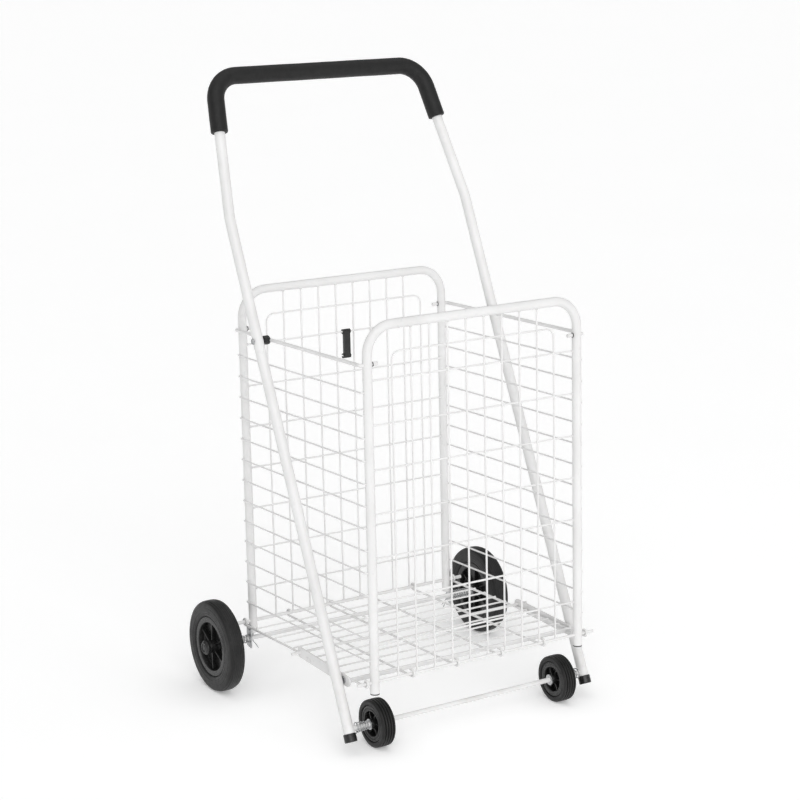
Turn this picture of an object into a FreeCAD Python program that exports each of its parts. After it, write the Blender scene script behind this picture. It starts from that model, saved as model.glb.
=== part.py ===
import FreeCAD, Part
import math
import os

# Folding wire shopping trolley. Millimetres and degrees, +Z up, the front faces -Y.
# The basket is a parallelogram linkage: the rear panel stands on the big wheels, the front panel
# hangs from it on the floor, the side wires and the top rails, and all of those pivot alike.
# Each side is drawn for +X and mirrored. "Basket" coordinates have their origin on the rear tubes'
# line at floor level and lean to the rear with the panels.

V = FreeCAD.Vector
ORIGIN = V(0, 0, 0)
X_AXIS = V(1, 0, 0)

# Basket
LEAN = 1.6                 # the panels' lean to the rear
DEPTH = 380.0              # from the rear pivots to the front pivots
PANEL_X = 194.0            # centre line of each panel's side tubes
REAR_TUBE_R = 7.0
FRONT_TUBE_R = 7.5
PANEL_WALL = 1.2
PANEL_CORNER_R = 44.0
REAR_TOP_Z = 661.0         # centre line of the rear top tube
FRONT_TOP_Z = 656.0
REAR_FOOT_Z = 86.0
FRONT_FOOT_Z = 89.0
PLUG_RIM_T = 1.8           # the plugs in the front tubes' feet
PLUG_STEM = 10.0
FIT = 0.05                 # radial clearance of a pin in its hole
GAP = 0.02                 # between two fixed pieces that touch
WIRE_HOLE_R = 1.85         # the side wires turn in loose holes
DRILL = 12.0               # how far a drilled hole reaches from its tube's centre line

# Panel meshes
WIRE_R = 1.5
COLUMN_PITCH = 33.33       # upright wires
INNER_COLUMNS = 8
FRAME_WIRE_X = 150.0       # the outer wire, bent into an upside-down U
FRAME_WIRE_DROP = 42.0     # below the top tube's centre line
FRAME_WIRE_CORNER = 14.0
ROW_TOP_Z = 573.5
ROW_PITCH = 68.6
ROWS = 7
ROW_SET = 2.6              # level wires lie this far inside the upright ones
FRAME_WIRE_SET = 1.3

# Floor pivots and the rods through the tubes' feet
PIVOT_Z = 106.4
REAR_ROD_R = 3.0
FRONT_ROD_R = 2.5
ROD_END_X = 225.0

# Side wires and top rails
SIDE_X = 204.6
SIDE_WIRES = 13
SIDE_PITCH = 34.7
SIDE_END_X = 190.0
SIDE_BEND_R = 2.9
RAIL_R = 3.1
RAIL_X = 206.0
RAIL_Z = 599.2
RAIL_END_X = 176.0
RAIL_BEND_R = 4.4
NUT_R = 3.9
NUT_X = 184.9
NUT_T = 1.2

# Floor
FLOOR_WIRE_R = 2.0
EYE_R = REAR_ROD_R + 0.08 + FLOOR_WIRE_R
EDGE_X = 208.8
HOOK_XS = (-125.0, -41.7, 41.7, 125.0)
HOOK_TAIL = 7.0
HOOK_DEG = 180.0           # how far a hook and an end eye curl round their rods
EYE_DEG = 285.0
CROSS_WIRES = 11
CROSS_PITCH = 30.2
CROSS_ROD_R = 2.5
CROSS_ROD_X = 230.0
WELD = 0.3                 # how far one welded wire sinks into the next

# Handle frame: one bent tube whose plane slants back
SLANT_RISE = 0.4584        # run to the rear for each millimetre of height
SLANT = math.degrees(math.atan(SLANT_RISE))
LEG_FOOT_Y = -367.86       # where the frame's plane meets the ground
LEG_X = 226.0
LEG_R = 8.65
LEG_WALL = 1.3
KINK_Z = 785.0
KINK_R = 150.0
TAPER = 7.0                # inward turn of the arms above the kink
TOP_BAR_Z = 999.5
HANDLE_CORNER_R = 46.0
GRIP_R = 14.25
GRIP_FOOT_Z = 914.0
CAP_Z = 20.0
CAP_LENGTH = 13.5
CAP_R = 10.0
CAP_WALL = 3.0
CAP_EDGE_R = 1.2

# Pivot bolts and bushes between the top rails and the legs
BUSH_R = 7.25
BUSH_IN_X = 206.5
BUSH_OUT_X = 217.0
BOLT_R = 3.0
BOLT_HEAD_R = 5.0
BOLT_HEAD_T = 2.0
BOLT_EDGE_R = 1.2
BOLT_HOLLOW_R = 3.0
BOLT_HOLLOW_DEPTH = 0.8
BOLT_END_X = 210.0
BUSH_BORE_X = 209.4
BUSH_EDGE_R = 2.4

# Support bracket, from the floor's cross rod to the legs
STAY_Z = 107.0             # height of its pivot on the leg
STAY_IN_X = 211.6
STAY_T = 2.6
STAY_HALF_H = 8.75
STAY_NOSE = 8.75
STAY_BAR_R = 4.0
STAY_BAR_DROP = 3.8        # the cross bar's axis below the pivot
RIVET_HEAD_R = 6.0
RIVET_HEAD_T = 2.2
STAY_HEAD_INSET = 5.4      # the blind head, from the leg's centre line
STAY_HEAD_R = 4.2
STAY_HEAD_T = 1.6

# Wheels and axles
AXLE_R = 4.0
HUB_FIT = 0.06
WHEEL_RIBS = 6
REAR_AXLE_Y = 2.7
REAR_WHEEL_R = 76.2
REAR_WHEEL_X = 263.4
REAR_AXLE_END_X = 285.0
FRONT_WHEEL_R = 38.15
FRONT_WHEEL_X = 173.8
FRONT_AXLE_END_X = 232.0
SPRING_WIRE_R = 0.9
FRONT_SPRING_X = (190.0, 214.6)
FRONT_SPRING_R = (5.6, 8.2)
FRONT_SPRING_TURNS = 5
FRONT_WASHER_X = (186.8, 188.4)
FRONT_WASHER_R = 8.5
FRONT_COLLAR_X = (157.6, 161.0)
FRONT_COLLAR_R = 8.8
REAR_SPRING_X = (205.7, 246.5)
REAR_SPRING_R = 6.2
REAR_SPRING_TURNS = 8
REAR_INNER_WASHER_X = (203.3, 204.5)
REAR_OUTER_WASHER_X = (247.7, 249.0)
REAR_WASHER_R = 7.6
AXLE_CAP_X = (280.3, 288.0)
AXLE_CAP_R = 12.0
AXLE_CAP_EDGE_R = 4.0

# Split pins through the rear axle
COTTER_X = 195.0
COTTER_R = 0.75
COTTER_HOLE_R = 1.7
COTTER_GAP = 0.84          # from the pin's middle to each leg's centre line
COTTER_HEAD_RISE = 7.5     # above the axle's centre line
COTTER_BEND_Z = 70.5       # where the legs turn aside
COTTER_LEG_Z = (57.5, 60.5)
COTTER_SPREAD_X = 8.5
COTTER_SPREAD_Y = 2.6
COTTER_BEND_R = 2.5

# Brackets riveted to the rear tubes, which hold the rear axle
PLATE_X = 201.1
PLATE_T = 2.0
PLATE_Y = (-8.0, 7.0)      # from the axle's centre line
PLATE_TOP_Z = 100.0
PLATE_FOOT_Z = (59.5, 63.0)
PLATE_CORNER_R = 2.5
RIVET_Z = 94.0
RIVET_R = 2.0
BRACKET_RIVET_HEAD_T = 1.4

# Closing clip: a channel with a hook at each end, hung on the rear panel's top level wire
CLIP_HALF_W = 6.0
CLIP_HOOK_OVERHANG = 1.2
CLIP_LENGTH = 41.0         # between the two hooks' centres
CLIP_T = 2.2
CLIP_DEPTH = 5.0
CLIP_HOOK_R = 4.2
CLIP_MOUTH = 2.4

# The frame's plane through the front axle, and the box that all of it fills
FRONT_AXLE_Y = LEG_FOOT_Y + SLANT_RISE * FRONT_WHEEL_R
TOP_BAR_Y = LEG_FOOT_Y + SLANT_RISE * TOP_BAR_Z
Y_SHIFT = -(FRONT_AXLE_Y - FRONT_WHEEL_R + TOP_BAR_Y + GRIP_R) / 2
RUN_Z = PIVOT_Z - EYE_R
CROSS_ROD_Z = RUN_Z + FLOOR_WIRE_R + CROSS_ROD_R + GAP


def in_basket(shape):
    """Lean a shape drawn in basket coordinates."""
    return shape.rotated(ORIGIN, X_AXIS, -LEAN)


def in_handle(shape):
    """Slant a shape drawn upright, with its height measured along the legs."""
    return shape.rotated(ORIGIN, X_AXIS, -SLANT).translated(V(0, LEG_FOOT_Y, 0))


def along_leg(z):
    """Distance along the legs of a point at height z."""
    return z / math.cos(math.radians(SLANT))


def mirrored(shape):
    return shape.mirror(ORIGIN, X_AXIS)


def mirror_x(point):
    return V(-point.x, point.y, point.z)


def both(shape):
    """The shape for +X and its mirror image for -X."""
    return [shape, mirrored(shape)]


def rod(start, end, radius):
    step = end - start
    return Part.makeCylinder(radius, step.Length, start, step)


def x_rod(x0, x1, y, z, radius):
    return rod(V(x0, y, z), V(x1, y, z), radius)


def x_ring(x0, x1, y, z, radius, bore):
    return x_rod(x0, x1, y, z, radius).cut(x_rod(x0 - 1, x1 + 1, y, z, bore))


def line(a, b):
    return Part.LineSegment(a, b).toShape()


def arc(a, b, c):
    return Part.Arc(a, b, c).toShape()


def sweep(edges, radius):
    """A round bar of the given radius along tangent edges."""
    path = Part.Wire(edges)
    first = edges[0]
    start = first.valueAt(first.FirstParameter)
    heading = first.tangentAt(first.FirstParameter)
    profile = Part.Wire([Part.Circle(start, heading, radius).toShape()])
    return path.makePipeShell([profile], True, True)


def bent(points, bends, radius):
    """A round bar through the points, with an arc of bends[i] at each inner point."""
    edges = []
    start = points[0]
    for before, here, after, bend in zip(points, points[1:], points[2:], bends):
        into = (here - before).normalize()
        out = (after - here).normalize()
        turn = into.getAngle(out)
        reach = bend * math.tan(turn / 2)
        a = here - into * reach
        b = here + out * reach
        inward = (out - into).normalize()
        middle = here + inward * (bend / math.cos(turn / 2) - bend)
        edges += [line(start, a), arc(a, middle, b)]
        start = b
    edges.append(line(start, points[-1]))
    return sweep(edges, radius)


def spring(x0, x1, y, z, radius, end_radius, turns):
    """An open coil around the X direction from x0 to x1."""
    length = x1 - x0
    cone = math.degrees(math.atan((end_radius - radius) / length))
    coil = Part.makeHelix(length / turns, length, radius, cone)
    first = coil.Edges[0]
    start = first.valueAt(first.FirstParameter)
    heading = first.tangentAt(first.FirstParameter)
    profile = Part.Wire([Part.Circle(start, heading, SPRING_WIRE_R).toShape()])
    body = Part.Wire(coil.Edges).makePipeShell([profile], True, True)
    return body.rotated(ORIGIN, V(0, 1, 0), 90).translated(V(x0, y, z))


# ---- basket: rear and front panels ----

def panel_tube(y, foot_z, top_z, radius, rod_radius):
    """An upside-down U tube with the holes for everything that pivots in it."""
    points = [V(-PANEL_X, y, foot_z), V(-PANEL_X, y, top_z), V(PANEL_X, y, top_z),
              V(PANEL_X, y, foot_z)]
    bends = [PANEL_CORNER_R, PANEL_CORNER_R]
    tube = bent(points, bends, radius).cut(bent(points, bends, radius - PANEL_WALL))
    holes = []
    for z in side_wire_heights():
        holes += both(x_rod(PANEL_X, PANEL_X + DRILL, y, z, WIRE_HOLE_R))
    holes += both(x_rod(PANEL_X - DRILL, PANEL_X + DRILL, y, RAIL_Z, RAIL_R + FIT))
    holes += both(x_rod(PANEL_X - DRILL, PANEL_X + DRILL, y, PIVOT_Z, rod_radius + FIT))
    return in_basket(tube.cut(holes))


def panel_mesh(y, inward, top_z, tube_radius, rod_radius):
    """Welded wires: uprights from the rod to the top tube, level rows and a U frame wire."""
    foot = PIVOT_Z + rod_radius + GAP
    head = top_z - tube_radius - GAP
    wires = []
    for i in range(INNER_COLUMNS):
        x = (i - (INNER_COLUMNS - 1) / 2) * COLUMN_PITCH
        wires.append(rod(V(x, y, foot), V(x, y, head), WIRE_R))
    reach = PANEL_X - FIT - math.sqrt(tube_radius ** 2 - (ROW_SET - WIRE_R) ** 2)
    for i in range(ROWS):
        wires.append(x_rod(-reach, reach, y + inward * ROW_SET, ROW_TOP_Z - i * ROW_PITCH, WIRE_R))
    set_y = y + inward * FRAME_WIRE_SET
    top = top_z - FRAME_WIRE_DROP
    points = [V(-FRAME_WIRE_X, set_y, foot), V(-FRAME_WIRE_X, set_y, top),
              V(FRAME_WIRE_X, set_y, top), V(FRAME_WIRE_X, set_y, foot)]
    frame_wire = bent(points, [FRAME_WIRE_CORNER] * 2, WIRE_R)
    return in_basket(frame_wire.multiFuse(wires))


def rear_frame_tube():
    return [panel_tube(0, REAR_FOOT_Z, REAR_TOP_Z, REAR_TUBE_R, REAR_ROD_R)]


def rear_panel_mesh():
    return [panel_mesh(0, -1, REAR_TOP_Z, REAR_TUBE_R, REAR_ROD_R)]


def rear_bottom_rod():
    return [in_basket(x_rod(-ROD_END_X, ROD_END_X, 0, PIVOT_Z, REAR_ROD_R))]


def front_frame_tube():
    return [panel_tube(-DEPTH, FRONT_FOOT_Z, FRONT_TOP_Z, FRONT_TUBE_R, FRONT_ROD_R)]


def front_panel_mesh():
    return [panel_mesh(-DEPTH, 1, FRONT_TOP_Z, FRONT_TUBE_R, FRONT_ROD_R)]


def front_bottom_rod():
    return [in_basket(x_rod(-ROD_END_X, ROD_END_X, -DEPTH, PIVOT_Z, FRONT_ROD_R))]


def front_tube_plugs():
    """Plugs pushed into the front tubes' feet, with a thin rim left outside."""
    foot = V(PANEL_X, -DEPTH, FRONT_FOOT_Z)
    rim = rod(foot - V(0, 0, PLUG_RIM_T), foot, FRONT_TUBE_R)
    stem = rod(foot, foot + V(0, 0, PLUG_STEM), FRONT_TUBE_R - PANEL_WALL - FIT)
    return both(in_basket(rim.fuse(stem)))


# ---- basket: side wires, top rails and floor ----

def side_wire_heights():
    """Heights of the side wires, from the lowest up, one pitch apart above the floor pivots."""
    return [PIVOT_Z + SIDE_PITCH * (i + 1) for i in range(SIDE_WIRES)]


def link_bar(z, x, end_x, bend, radius):
    """A bar along one side whose ends turn inward into the front and rear tubes."""
    points = [V(end_x, 0, z), V(x, 0, z), V(x, -DEPTH, z), V(end_x, -DEPTH, z)]
    return in_basket(bent(points, [bend, bend], radius))


def top_rails():
    return both(link_bar(RAIL_Z, RAIL_X, RAIL_END_X, RAIL_BEND_R, RAIL_R))


def rail_push_nuts():
    nuts = []
    for y in (0, -DEPTH):
        nut = x_ring(NUT_X, NUT_X + NUT_T, y, RAIL_Z, NUT_R, RAIL_R + FIT)
        nuts += both(in_basket(nut))
    return nuts


def handle_pivot():
    """Where the legs cross the top rails, in basket coordinates."""
    lean = math.radians(LEAN)
    run = math.cos(lean) + SLANT_RISE * math.sin(lean)
    y = (LEG_FOOT_Y + RAIL_Z * (SLANT_RISE * math.cos(lean) - math.sin(lean))) / run
    return y, RAIL_Z


def pivot_bushes():
    """Plastic saddles: the rail lies in the groove, the leg's bolt turns in the bore."""
    y, z = handle_pivot()
    block = x_rod(BUSH_IN_X, BUSH_OUT_X, y, z, BUSH_R)
    inner = [e for e in block.Edges if abs(e.CenterOfMass.x - BUSH_IN_X) < 0.01]
    block = block.makeFillet(BUSH_EDGE_R, inner)
    groove = rod(V(RAIL_X, y - 20, z), V(RAIL_X, y + 20, z), RAIL_R + FIT)
    bore = x_rod(BUSH_BORE_X, BUSH_OUT_X + 1, y, z, BOLT_R + FIT)
    return both(in_basket(block.cut([groove, bore])))


def curl_point(x, y, facing, deg):
    """A point on a floor wire's curl round a rod, deg degrees on from the wire's run."""
    rad = math.radians(deg)
    return V(x, y, PIVOT_Z) + V(0, facing * math.sin(rad), -math.cos(rad)) * EYE_R


def floor_wire(x, sweep_deg, tail):
    """A lengthwise wire that runs under both bottom rods and curls up round them."""
    front = [curl_point(x, -DEPTH, -1, sweep_deg * part) for part in (1, 0.5, 0)]
    rear = [curl_point(x, 0, 1, sweep_deg * part) for part in (0, 0.5, 1)]
    edges = [arc(*front), line(front[-1], rear[0]), arc(*rear)]
    if tail:
        edges.insert(0, line(front[0] + V(0, tail, 0), front[0]))
        edges.append(line(rear[-1], rear[-1] - V(0, tail, 0)))
    return sweep(edges, FLOOR_WIRE_R)


def cross_wire_ys():
    first = (DEPTH - CROSS_PITCH * (CROSS_WIRES - 1)) / 2
    return [-(first + i * CROSS_PITCH) for i in range(CROSS_WIRES)]


def floor_grid():
    wires = [floor_wire(x, HOOK_DEG, HOOK_TAIL) for x in HOOK_XS]
    wires += both(floor_wire(EDGE_X, EYE_DEG, 0))
    z = RUN_Z + FLOOR_WIRE_R + WIRE_R - WELD
    middle = CROSS_WIRES // 2
    for i, y in enumerate(cross_wire_ys()):
        if i != middle:
            wires.append(x_rod(-EDGE_X, EDGE_X, y, z, WIRE_R))
    return [in_basket(wires[0].multiFuse(wires[1:]))]


def floor_cross_rod():
    """The heavier middle wire, whose ends carry the support bracket."""
    return [in_basket(x_rod(-CROSS_ROD_X, CROSS_ROD_X, -DEPTH / 2, CROSS_ROD_Z, CROSS_ROD_R))]


# ---- handle frame ----

def handle_points(foot):
    """The tube's corners, as x and distance along the legs."""
    kink = along_leg(KINK_Z)
    top = along_leg(TOP_BAR_Z)
    top_x = LEG_X - (top - kink) * math.tan(math.radians(TAPER))
    right = [V(top_x, 0, top), V(LEG_X, 0, kink), V(LEG_X, 0, foot)]
    left = [V(-p.x, 0, p.z) for p in reversed(right)]
    return left + right


def handle_bar(foot, radius):
    bends = [KINK_R, HANDLE_CORNER_R, HANDLE_CORNER_R, KINK_R]
    return bent(handle_points(foot), bends, radius)


def handle_tube():
    foot = along_leg(CAP_Z) + CAP_WALL
    tube = handle_bar(foot, LEG_R).cut(handle_bar(foot, LEG_R - LEG_WALL))
    tube = in_handle(tube)
    y, z = handle_pivot()
    holes = both(in_basket(x_rod(LEG_X - DRILL, LEG_X + DRILL, y, z, BOLT_R + FIT)))
    holes += both(x_rod(LEG_X - DRILL, LEG_X, stay_y(), STAY_Z, BOLT_R + FIT))
    holes += both(x_rod(LEG_X - DRILL, LEG_X, FRONT_AXLE_Y, FRONT_WHEEL_R, AXLE_R + FIT))
    return [tube.cut(holes)]


def handle_grip():
    """Foam sleeve over the top bar, both corners and the tops of the arms."""
    foot = along_leg(GRIP_FOOT_Z)
    kink = along_leg(KINK_Z)
    foot_x = LEG_X - (foot - kink) * math.tan(math.radians(TAPER))
    inner = handle_points(0)
    points = [V(-foot_x, 0, foot), inner[2], inner[3], V(foot_x, 0, foot)]
    bends = [HANDLE_CORNER_R] * 2
    grip = bent(points, bends, GRIP_R).cut(bent(points, bends, LEG_R + FIT))
    return [in_handle(grip)]


def foot_caps():
    foot = along_leg(CAP_Z)
    cup = rod(V(LEG_X, 0, foot), V(LEG_X, 0, foot + CAP_LENGTH), CAP_R)
    cup = cup.makeFillet(CAP_EDGE_R, cup.Edges)
    leg = rod(V(LEG_X, 0, foot + CAP_WALL), V(LEG_X, 0, foot + CAP_LENGTH + 1), LEG_R + FIT)
    return both(in_handle(cup.cut(leg)))


def handle_pivot_bolts():
    """Rivets from the bushes through the legs, each with a hollowed head on the leg's outer face."""
    y, z = handle_pivot()
    face = LEG_X + LEG_R + FIT
    end = face + BOLT_HEAD_T
    head = x_rod(face, end, y, z, BOLT_HEAD_R)
    outer = [e for e in head.Edges if abs(e.CenterOfMass.x - end) < 0.01]
    head = head.makeFillet(BOLT_EDGE_R, outer)
    rivet = x_rod(BOLT_END_X, face, y, z, BOLT_R).fuse(head)
    hollow = x_rod(end - BOLT_HOLLOW_DEPTH, end + 1, y, z, BOLT_HOLLOW_R)
    return both(in_basket(rivet.cut(hollow)))


def stay_bolts():
    """Blind rivets in the legs' inner walls, with the formed heads inside the tubes."""
    wall = LEG_X - LEG_R + LEG_WALL / 4
    head_x = LEG_X - STAY_HEAD_INSET
    shank = x_rod(wall, head_x, stay_y(), STAY_Z, BOLT_R)
    head = x_rod(head_x, head_x + STAY_HEAD_T, stay_y(), STAY_Z, STAY_HEAD_R)
    return both(shank.fuse(head))


def front_axle():
    return [x_rod(-FRONT_AXLE_END_X, FRONT_AXLE_END_X, FRONT_AXLE_Y, FRONT_WHEEL_R, AXLE_R)]


def front_wheel_springs():
    x0, x1 = FRONT_SPRING_X
    r0, r1 = FRONT_SPRING_R
    return both(spring(x0, x1, FRONT_AXLE_Y, FRONT_WHEEL_R, r0, r1, FRONT_SPRING_TURNS))


def front_axle_washers():
    """A wide washer outside each front wheel and a pressed collar inside it."""
    rings = []
    for (x0, x1), radius in ((FRONT_WASHER_X, FRONT_WASHER_R), (FRONT_COLLAR_X, FRONT_COLLAR_R)):
        rings += both(x_ring(x0, x1, FRONT_AXLE_Y, FRONT_WHEEL_R, radius, AXLE_R + FIT))
    return rings


# ---- support bracket ----

def stay_y():
    return LEG_FOOT_Y + SLANT_RISE * STAY_Z


def stay_ends():
    """The bracket's rear and front pivots, upright coordinates."""
    rear = V(0, -DEPTH / 2, CROSS_ROD_Z)
    rear = FreeCAD.Rotation(X_AXIS, -LEAN).multVec(rear)
    return rear, V(0, stay_y(), STAY_Z)


def stay_bars():
    rear, front = stay_ends()
    ahead = (front - rear).normalize()
    up = V(0, -ahead.z, ahead.y) * -1
    nose = front + ahead * STAY_NOSE
    h = STAY_HALF_H
    shift = V(STAY_IN_X, 0, 0)
    a, b = rear + up * h + shift, nose + up * h + shift
    c, d = nose - up * h + shift, rear - up * h + shift
    outline = [line(a, b), arc(b, nose + ahead * h + shift, c),
               line(c, d), arc(d, rear - ahead * h + shift, a)]
    bar = Part.Face(Part.Wire(outline)).extrude(V(STAY_T, 0, 0))
    rear_hole = x_rod(STAY_IN_X - 1, STAY_IN_X + STAY_T + 1, rear.y, rear.z, CROSS_ROD_R + FIT)
    front_hole = x_rod(STAY_IN_X - 1, STAY_IN_X + STAY_T + 1, front.y, front.z, BOLT_R + FIT)
    return both(bar.cut([rear_hole, front_hole]))


def stay_cross_bar():
    end = STAY_IN_X - FIT
    return [x_rod(-end, end, stay_y(), STAY_Z - STAY_BAR_DROP, STAY_BAR_R)]


def stay_rivets():
    """Rivets that hold the cross bar between the side bars, with low heads outside."""
    shank = x_rod(STAY_IN_X, STAY_IN_X + STAY_T, stay_y(), STAY_Z, BOLT_R)
    x0 = STAY_IN_X + STAY_T
    head = x_rod(x0, x0 + RIVET_HEAD_T, stay_y(), STAY_Z, RIVET_HEAD_R)
    return both(shank.fuse(head))


# ---- rear axle ----

def rear_axle():
    axle = x_rod(-REAR_AXLE_END_X, REAR_AXLE_END_X, REAR_AXLE_Y, REAR_WHEEL_R, AXLE_R)
    ends = [V(COTTER_X, REAR_AXLE_Y, REAR_WHEEL_R + step) for step in (-DRILL, DRILL)]
    hole = rod(*ends, COTTER_HOLE_R)
    return [axle.cut(both(hole))]


def axle_brackets():
    """Plates riveted to the rear tubes' outer faces, with a slanted foot."""
    y0, y1 = (REAR_AXLE_Y + edge for edge in PLATE_Y)
    corners = [(y0, PLATE_TOP_Z), (y1, PLATE_TOP_Z), (y1, PLATE_FOOT_Z[1]), (y0, PLATE_FOOT_Z[0])]
    points = [V(PLATE_X, y, z) for y, z in corners]
    plate = Part.Face(Part.makePolygon(points + points[:1])).extrude(V(PLATE_T, 0, 0))
    upright = [e for e in plate.Edges if abs(e.tangentAt(e.FirstParameter).x) > 0.9]
    plate = plate.makeFillet(PLATE_CORNER_R, upright)
    axle = x_rod(PLATE_X - 1, PLATE_X + PLATE_T + 1, REAR_AXLE_Y, REAR_WHEEL_R, AXLE_R + FIT)
    rivet = x_rod(PLATE_X - 1, PLATE_X + PLATE_T + 1, REAR_AXLE_Y, RIVET_Z, RIVET_R + FIT)
    return both(plate.cut([axle, rivet]))


def bracket_rivets():
    """Rivets through the plates, with the heads outside."""
    face = PLATE_X + PLATE_T
    shank = x_rod(PLATE_X, face, REAR_AXLE_Y, RIVET_Z, RIVET_R)
    head = x_rod(face, face + BRACKET_RIVET_HEAD_T, REAR_AXLE_Y, RIVET_Z, 2 * RIVET_R)
    return both(shank.fuse(head))


def cotter_pins():
    """Split pins through the axle, their legs spread down and inward."""
    y, x = REAR_AXLE_Y, COTTER_X
    gap = COTTER_GAP
    head = REAR_WHEEL_R + COTTER_HEAD_RISE
    foot_x = x - COTTER_SPREAD_X
    points = [V(foot_x, y - COTTER_SPREAD_Y, COTTER_LEG_Z[0]), V(x, y - gap, COTTER_BEND_Z),
              V(x, y - gap, head), V(x, y + gap, head), V(x, y + gap, COTTER_BEND_Z),
              V(foot_x, y + COTTER_SPREAD_Y, COTTER_LEG_Z[1])]
    return both(bent(points, [COTTER_BEND_R, gap - GAP, gap - GAP, COTTER_BEND_R], COTTER_R))


def rear_axle_washers():
    rings = []
    for x0, x1 in (REAR_INNER_WASHER_X, REAR_OUTER_WASHER_X):
        rings += both(x_ring(x0, x1, REAR_AXLE_Y, REAR_WHEEL_R, REAR_WASHER_R, AXLE_R + FIT))
    return rings


def rear_wheel_springs():
    x0, x1 = REAR_SPRING_X
    r = REAR_SPRING_R
    return both(spring(x0, x1, REAR_AXLE_Y, REAR_WHEEL_R, r, r, REAR_SPRING_TURNS))


def rear_axle_caps():
    """Push-on caps over the axle's ends."""
    x0, x1 = AXLE_CAP_X
    cap = x_rod(x0, x1, REAR_AXLE_Y, REAR_WHEEL_R, AXLE_CAP_R)
    outer = [e for e in cap.Edges if abs(e.CenterOfMass.x - x1) < 0.01]
    cap = cap.makeFillet(AXLE_CAP_EDGE_R, outer)
    bore = x_rod(x0 - 1, REAR_AXLE_END_X + 0.1, REAR_AXLE_Y, REAR_WHEEL_R, AXLE_R + FIT)
    return both(cap.cut(bore))


# ---- wheels ----

def turned(edges):
    """Revolve a closed outline of (distance along X, radius) edges about the X axis."""
    return Part.Face(Part.Wire(edges)).revolve(ORIGIN, X_AXIS, 360)


def outline(points):
    corners = [V(a, 0, r) for a, r in points]
    return [line(p, q) for p, q in zip(corners, corners[1:] + corners[:1])]


def rim(half_width, seat_r, recess_r, hub_r, hub_ends, web_t, spoke_t, first_deg):
    """A moulded wheel centre: ring, web and hub, with ribs as spokes on both sides.

    first_deg is how far the first rib is turned from upright.
    """
    w = half_width
    h = web_t / 2
    lip = 1.0
    a, b = hub_ends
    bore = AXLE_R + HUB_FIT
    profile = [(-w, recess_r + lip), (-w, seat_r - lip), (-w + lip, seat_r), (w - lip, seat_r),
               (w, seat_r - lip), (w, recess_r + lip), (w - lip, recess_r), (h, recess_r - 1.5),
               (h, hub_r), (b, hub_r - 1.0), (b, bore), (a, bore), (a, hub_r - 1.0), (-h, hub_r),
               (-h, recess_r - 1.5), (-w + lip, recess_r)]
    body = turned(outline(profile))
    ribs = []
    reach = recess_r - hub_r + 2
    deep = 0.72 * w
    for i in range(WHEEL_RIBS):
        rib = Part.makeBox(2 * deep, spoke_t, reach, V(-deep, -spoke_t / 2, hub_r - 1.5))
        ribs.append(rib.rotated(ORIGIN, X_AXIS, first_deg + 360.0 * i / WHEEL_RIBS))
    return body.multiFuse(ribs)


def rear_rim():
    return rim(half_width=12.6, seat_r=50.0, recess_r=40.6, hub_r=11.0, hub_ends=(-13.9, 16.4),
               web_t=3.0, spoke_t=2.0, first_deg=0)


def front_rim():
    return rim(half_width=10.8, seat_r=28.4, recess_r=19.6, hub_r=8.2, hub_ends=(-12.3, 12.3),
               web_t=2.6, spoke_t=1.8, first_deg=30)


def rear_tyre():
    """A solid tyre with round shoulders and a low crown."""
    seat_r, wall_r, shoulder_r = 50.05, 61.0, 71.5
    foot_x, edge_x, wall_x = 12.0, 13.4, 14.4
    heel, bead, shoulder = V(foot_x, 0, seat_r), V(edge_x, 0, seat_r + 1.6), V(edge_x, 0, shoulder_r)
    side = [line(heel, bead), arc(bead, V(wall_x, 0, wall_r), shoulder)]
    crown = arc(shoulder, V(0, 0, REAR_WHEEL_R), mirror_x(shoulder))
    base = line(mirror_x(heel), heel)
    edges = side + [edge.mirror(ORIGIN, X_AXIS) for edge in side] + [crown, base]
    return turned(Part.__sortEdges__(edges))


def front_tyre():
    """A solid tyre whose tread has four grooves."""
    seat = 28.45
    top = FRONT_WHEEL_R
    side = 11.9
    half = [(10.4, seat), (side, seat + 1.6), (side, top - 3.4), (side - 1.6, top - 1.2)]
    groove_w, groove_d = 1.3, 1.3
    for centre in (6.9, 2.3):
        crown = top - 0.012 * centre ** 2
        half += [(centre + groove_w, crown), (centre + groove_w / 2, crown - groove_d),
                 (centre - groove_w / 2, crown - groove_d), (centre - groove_w, crown)]
    half.append((0.4, top))
    return turned(outline(half + [(-a, r) for a, r in reversed(half)]))


def rear_wheel_part(shape, side):
    shape = shape.translated(V(REAR_WHEEL_X, REAR_AXLE_Y, REAR_WHEEL_R))
    return [shape if side > 0 else mirrored(shape)]


def front_wheel_part(shape, side):
    shape = shape.translated(V(FRONT_WHEEL_X, FRONT_AXLE_Y, FRONT_WHEEL_R))
    return [shape if side > 0 else mirrored(shape)]


# ---- closing clip ----

def closing_clip():
    """A moulded channel: its top hook hangs on a wire, its lower one closes the folded basket."""
    y = -ROW_SET
    low_z = ROW_TOP_Z - CLIP_LENGTH
    w = CLIP_HALF_W
    end = w + CLIP_HOOK_OVERHANG
    hooks = [x_rod(-end, end, y, z, CLIP_HOOK_R) for z in (ROW_TOP_Z, low_z)]
    face_y = y - CLIP_HOOK_R
    plate = Part.makeBox(2 * w, CLIP_T, CLIP_LENGTH, V(-w, face_y, low_z))
    walls = both(Part.makeBox(CLIP_T, CLIP_DEPTH, CLIP_LENGTH, V(w - CLIP_T, face_y, low_z)))
    seats = [x_rod(-w - 2, w + 2, y, z, WIRE_R + FIT) for z in (ROW_TOP_Z, low_z)]
    mouths = [Part.makeBox(2 * w + 4, 8, CLIP_MOUTH, V(-w - 2, y, z - CLIP_MOUTH / 2))
              for z in (ROW_TOP_Z, low_z)]
    return [in_basket(hooks[0].fuse([hooks[1], plate] + walls).cut(seats + mouths))]


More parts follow.
